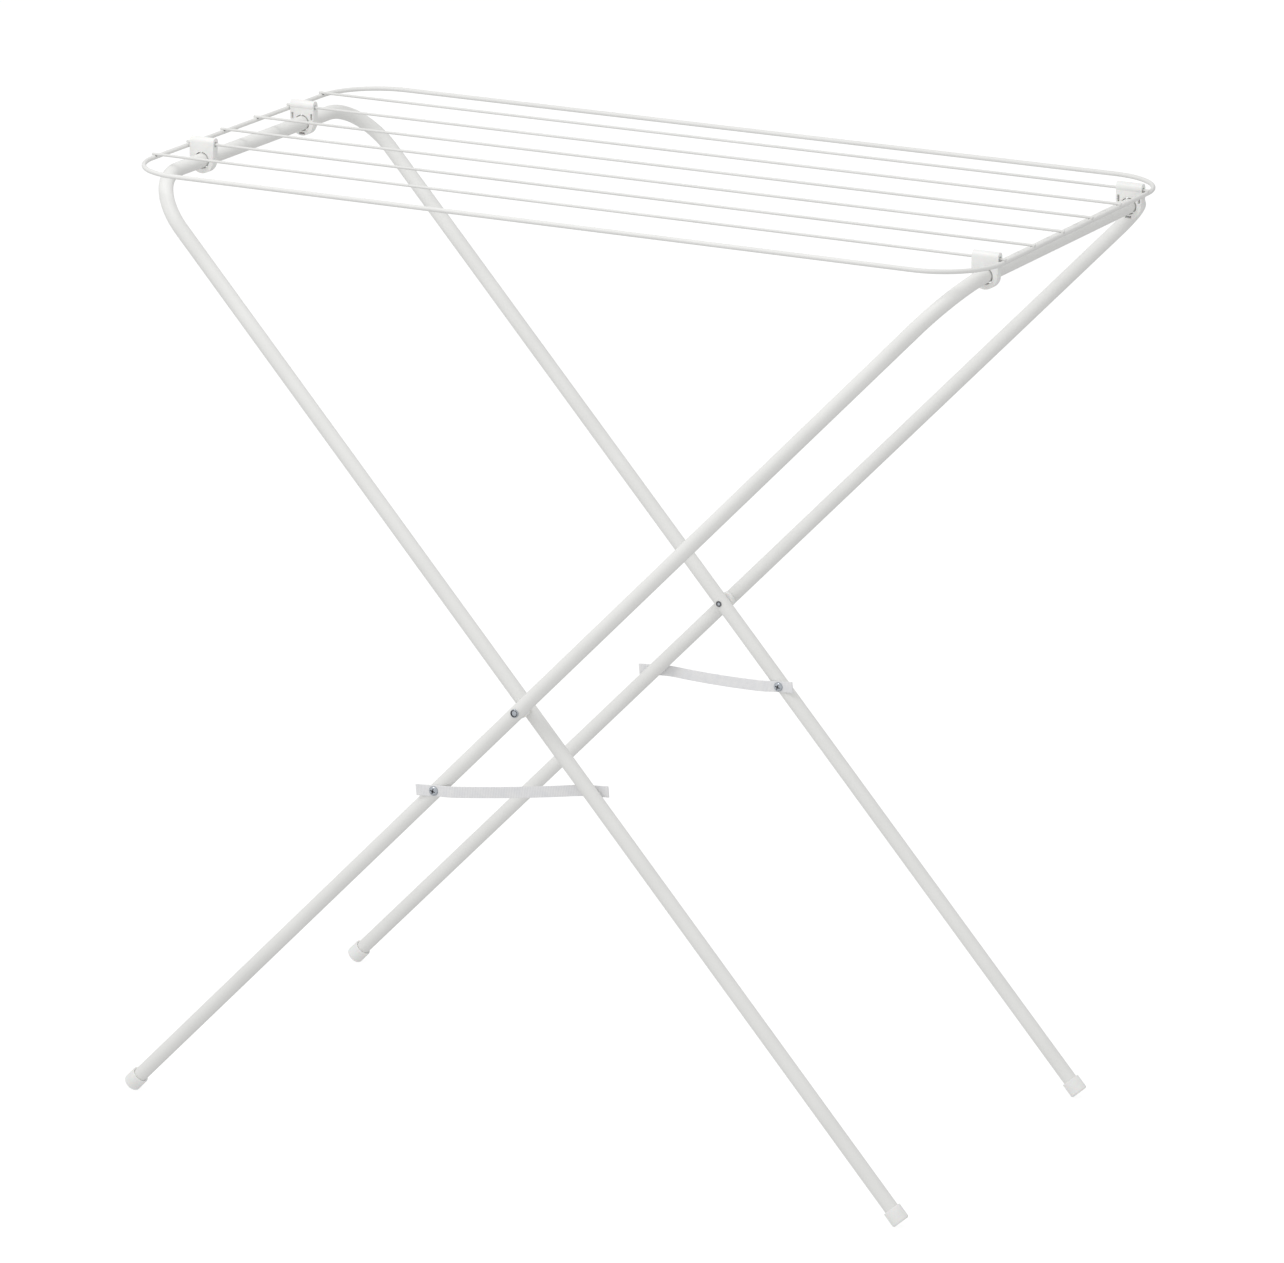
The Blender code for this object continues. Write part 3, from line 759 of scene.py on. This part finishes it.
def grid_clip(name, x, number, side, snap):
    """A clip: ring around a top bar, barrel around one wire, pockets, and a mouth in the ring if it snaps."""
    move = Matrix.Translation
    wire_height = WIRE_Z - OUTER_BAR.z
    pocket_y = side * (CLIP_PLATE_STEP + CLIP_POCKET_DEPTH - CLIP_DEPTH)
    pocket_r = (CLIP_BORE_R + CLIP_RING_R) / 2
    tools = [(clip_section(side), Matrix.Identity(4), "INTERSECT")]
    bore = rod(CLIP_BORE_R, 4 * CLIP_DEPTH, RING_SIDES, "Y")
    tools.append((bore, Matrix.Identity(4), "DIFFERENCE"))
    bore = rod(WIRE_R + GAP / 2, 4 * CLIP_HALF_WIDTH, BORE_SIDES, "X")
    tools.append((bore, move((0.0, 0.0, wire_height)), "DIFFERENCE"))
    for end in (-1, 1):
        hollow = rod(CLIP_HOLLOW_R, 2 * CLIP_HOLLOW_DEPTH, HOLLOW_SIDES, "X")
        tools.append((hollow, move((end * CLIP_HALF_WIDTH, 0.0, wire_height)), "DIFFERENCE"))
        pocket = block((CLIP_POCKET_SHORT, CLIP_DEPTH, CLIP_POCKET_LONG))
        spot = (end * (pocket_r + GAP), pocket_y, CLIP_POCKET_HEIGHT)
        tools.append((pocket, move(spot), "DIFFERENCE"))
    pocket = block((CLIP_POCKET_LONG, CLIP_DEPTH, CLIP_POCKET_SHORT))
    tools.append((pocket, move((0.0, pocket_y, -pocket_r)), "DIFFERENCE"))
    if snap:
        mouth = block((CLIP_RING_R, 2 * CLIP_DEPTH, SNAP_MOUTH_WIDTH))
        spot = (CLIP_RING_R * math.cos(SNAP_MOUTH_ANGLE), 0.0, CLIP_RING_R * math.sin(SNAP_MOUTH_ANGLE))
        turn = Matrix.Rotation(-SNAP_MOUTH_ANGLE, 4, "Y")
        tools.append((mouth, move(spot) @ turn, "DIFFERENCE"))
    build = soften(carved(clip_face(), tools), CLIP_EDGE)
    at = move((x, wire_y(number), OUTER_BAR.z))
    piece(name, build, (PLASTIC,), "grid", (name,), at, sharp=30.0)


def grid_clips():
    """The four clips, each on its own drying wire."""
    grid_clip("snap_clip_front", INNER_BAR.x, 2, -1, True)
    grid_clip("snap_clip_rear", INNER_BAR.x, 5, 1, True)
    grid_clip("hinge_clip_front", OUTER_BAR.x, 1, -1, False)
    grid_clip("hinge_clip_rear", OUTER_BAR.x, 6, 1, False)


# ---- Straps ----


def leg_point(place, y, down):
    """A point beside a leg, at a distance below the pivot along the leg."""
    return place @ Vector((0.0, y, -down))


def screw(name, place, y, down, side, body):
    """A pan-head screw with a cross recess, painted dark inside as shade."""
    dome = arc((SCREW_HEAD_R - SCREW_HEAD_H, 0.0), SCREW_HEAD_H, 90, 0, DOME_STEPS)
    profile = [(0.0, SCREW_HEAD_H)] + dome
    profile += [(SCREW_SHANK_R, 0.0), (SCREW_SHANK_R, -SCREW_SHANK_LENGTH), (0.0, -SCREW_LENGTH)]
    head = turned(profile, FASTENER_SIDES)
    top = Matrix.Translation((0.0, 0.0, SCREW_HEAD_H))
    slots = []
    for angle in (0.0, math.pi / 2):
        arm = block((SCREW_CROSS_LENGTH, SCREW_CROSS_WIDTH, SCREW_CROSS_CUT))
        spot = Matrix.Rotation(angle + SCREW_CROSS_TURN, 4, "Z") @ top
        slots.append((arm, spot, "DIFFERENCE"))
    middle = rod(SCREW_CROSS_WIDTH, SCREW_MIDDLE_CUT, CROSS_SIDES, "Z")
    slots.append((middle, top, "DIFFERENCE"))
    build = carved(head, slots)
    # Painted shade: the faces inside the cross recess take the dark steel
    for face in build.faces:
        centre = face.calc_center_median()
        if 0.0 < centre.z < SCREW_RECESS_TOP and centre.xy.length < SCREW_RECESS_R:
            face.material_index = 1
    turn = Matrix.Rotation(-side * math.pi / 2, 4, "X")
    at = place @ Matrix.Translation((0.0, y, -down)) @ turn
    piece(name, build, (ZINC, RECESS_SHADE), body, (name,), at)


def eased(along):
    """A straight run from 0 to 1 with a short round start and finish."""
    slope = 1 / (1 - STRAP_EASE)
    if along < STRAP_EASE:
        return slope * along * along / (2 * STRAP_EASE)
    if along > 1 - STRAP_EASE:
        return 1 - slope * (1 - along) ** 2 / (2 * STRAP_EASE)
    return slope * (along - STRAP_EASE / 2)


def strap_line():
    """The strap's middle line from its outer end to its inner end: points and running length."""
    outer = leg_point(OUTER_FRAME, 0.0, STRAP_ON_OUTER_LEG)
    inner = leg_point(INNER_FRAME, 0.0, STRAP_ON_INNER_LEG)
    outer_y = OUTER_HALF + TUBE_R + GAP + STRAP_THICK / 2
    inner_y = INNER_HALF - TUBE_R - GAP - STRAP_THICK / 2
    slope = (inner.z - outer.z) / (inner.x - outer.x)
    leave = outer.x + STRAP_FLAT_ON_LEG
    arrive = inner.x - STRAP_FLAT_ON_LEG
    start = outer.x - STRAP_OUTER_TAIL
    end = inner.x + STRAP_INNER_TAIL

    def at(x):
        along = min(max((x - leave) / (arrive - leave), 0.0), 1.0)
        y = outer_y + (inner_y - outer_y) * eased(along)
        sag = 4 * STRAP_SAG * along * (1 - along)
        return Vector((x, y, outer.z + slope * (x - outer.x) - sag))

    line = [at(start + (end - start) * i / STRAP_STEPS) for i in range(STRAP_STEPS + 1)]
    lengths = [0.0]
    for first, second in zip(line, line[1:]):
        lengths.append(lengths[-1] + (second - first).length)
    return line, lengths


def strap_section():
    """The webbing's outline in half widths and half thicknesses: flat faces and rounded edges."""
    section = []
    across_power, through_power = STRAP_SQUARENESS
    for k in range(STRAP_SIDES):
        angle = 2 * math.pi * k / STRAP_SIDES
        c, s = math.cos(angle), math.sin(angle)
        across = math.copysign(abs(c) ** across_power, c)
        through = math.copysign(abs(s) ** through_power, s)
        section.append((across, through))
    return section


def strap_ring(build, section, side, point, tangent, run):
    """One ring of corners round the webbing, fuller on a rib than between two ribs."""
    up = (Vector((0, 0, 1)) - tangent * tangent.z).normalized()
    out = up.cross(tangent).normalized()
    rib = abs(math.sin(math.pi * run / STRAP_RIB_PITCH))
    thick = STRAP_THICK / 2 * (1 - STRAP_RIB_SWELL * (1 - rib))
    wide = STRAP_WIDTH / 2 * (1 - STRAP_RIB_SCALLOP * (1 - rib))
    ring = []
    for across, through in section:
        spot = point + up * across * wide + out * through * thick
        ring.append(build.verts.new((spot.x, side * spot.y, spot.z)))
    return ring


def strap_mesh(side, line, lengths):
    """The webbing along its middle line, mapped in metres: U along it and V across it."""
    total = lengths[-1]
    rows = STRAP_ROWS_PER_RIB * round(total / STRAP_RIB_PITCH)
    section = strap_section()
    build = bmesh.new()
    uv = build.loops.layers.uv.new("cloth")
    rings = []
    cursor = 0
    for i in range(rows + 1):
        run = total * i / rows
        while cursor < len(lengths) - 2 and lengths[cursor + 1] < run:
            cursor += 1
        share = (run - lengths[cursor]) / (lengths[cursor + 1] - lengths[cursor])
        point = line[cursor].lerp(line[cursor + 1], share)
        tangent = (line[cursor + 1] - line[cursor]).normalized()
        rings.append(strap_ring(build, section, side, point, tangent, run))
    for i in range(rows):
        for k in range(STRAP_SIDES):
            after = (k + 1) % STRAP_SIDES
            face = build.faces.new((rings[i][k], rings[i][after], rings[i + 1][after], rings[i + 1][k]))
            steps = ((i, k), (i, after), (i + 1, after), (i + 1, k))
            for loop, (row, column) in zip(face.loops, steps):
                loop[uv].uv = (total * row / rows, section[column][0] * STRAP_WIDTH / 2)
    build.faces.new(rings[0])
    build.faces.new(rings[-1])
    bmesh.ops.recalc_face_normals(build, faces=build.faces)
    return build


def strap(name, side):
    """A ribbed webbing strap with square ends, from an outer leg to an inner leg."""
    line, lengths = strap_line()
    build = strap_mesh(side, line, lengths)
    made = piece(name + "_webbing", build, (CLOTH,), None, (name,), sharp=60.0)
    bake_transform(made)


def straps():
    """Both straps and the screw at each end of them."""
    seat = GAP + STRAP_THICK
    for word, side in SIDES:
        outer_y = side * (OUTER_HALF + TUBE_R + seat)
        inner_y = side * (INNER_HALF - TUBE_R - seat)
        screw("strap_screw_outer_" + word, OUTER_FRAME, outer_y, STRAP_ON_OUTER_LEG, side, "outer_frame")
        screw("strap_screw_inner_" + word, INNER_FRAME, inner_y, STRAP_ON_INNER_LEG, -side, "inner_frame")
        strap("strap_" + word, side)


# ---- Studio ----


def floor():
    """A plain pale floor under the rack."""
    build = bmesh.new()
    bmesh.ops.create_grid(build, x_segments=1, y_segments=1, size=FLOOR_SIZE)
    made = linked("studio_floor", build)
    nodes = Nodes("pale_floor")
    tone = nodes.ramp(nodes.noise(scale=0.6, detail=3.0), (0.29, 0.29, 0.29), (0.30, 0.30, 0.30))
    glow = {"Emission_Color": (1.0, 1.0, 1.0, 1.0), "Emission_Strength": FLOOR_GLOW}
    made.data.materials.append(nodes.surface(tone, Roughness=0.9, **glow))
    made.visible_diffuse = False
    made.visible_glossy = False


def softbox(name, position, target, size, watts):
    """A square area light aimed at a target and hidden from the camera."""
    data = bpy.data.lights.new(name, "AREA")
    data.shape = "SQUARE"
    data.size = size
    data.energy = watts
    lamp = bpy.data.objects.new(name, data)
    bpy.context.scene.collection.objects.link(lamp)
    lamp.location = position
    lamp.visible_camera = False
    aim = Vector(target) - Vector(position)
    lamp.rotation_euler = aim.to_track_quat("-Z", "Y").to_euler()


def studio():
    """Fill light from all round, the floor and the softbox."""
    scene = bpy.context.scene
    scene.view_settings.view_transform = "Standard"
    world = bpy.data.worlds.new("studio")
    scene.world = world
    world.use_nodes = True
    tree = world.node_tree
    direction = tree.nodes.new("ShaderNodeTexCoord")
    tilt = tree.nodes.new("ShaderNodeVectorMath")
    tilt.operation = "DOT_PRODUCT"
    tilt.inputs[1].default_value = FILL_TILT
    tree.links.new(direction.outputs["Generated"], tilt.inputs[0])
    level = tree.nodes.new("ShaderNodeMath")
    level.operation = "ADD"
    level.inputs[1].default_value = FILL_LEVEL
    tree.links.new(tilt.outputs["Value"], level.inputs[0])
    tree.links.new(level.outputs[0], tree.nodes["Background"].inputs["Strength"])
    tree.nodes["Background"].inputs["Color"].default_value = (1.0, 1.0, 1.0, 1.0)
    floor()
    softbox("key", KEY_AT, PIVOT, KEY_SIZE, KEY_WATTS)


def camera():
    """The camera at the photograph's viewpoint."""
    data = bpy.data.cameras.new("camera")
    data.lens = CAMERA_LENS
    data.sensor_width = SENSOR_WIDTH
    data.clip_end = CAMERA_REACH
    made = bpy.data.objects.new("camera", data)
    bpy.context.scene.collection.objects.link(made)
    turn = Matrix.Rotation(CAMERA_YAW, 4, "Z") @ Matrix.Rotation(math.pi / 2 - CAMERA_PITCH, 4, "X")
    made.matrix_world = Matrix.Translation(CAMERA_AT) @ turn @ Matrix.Rotation(CAMERA_ROLL, 4, "Z")
    bpy.context.scene.camera = made


camera()
studio()
frames()
pivots()
grid_rim()
drying_wires()
grid_clips()
straps()
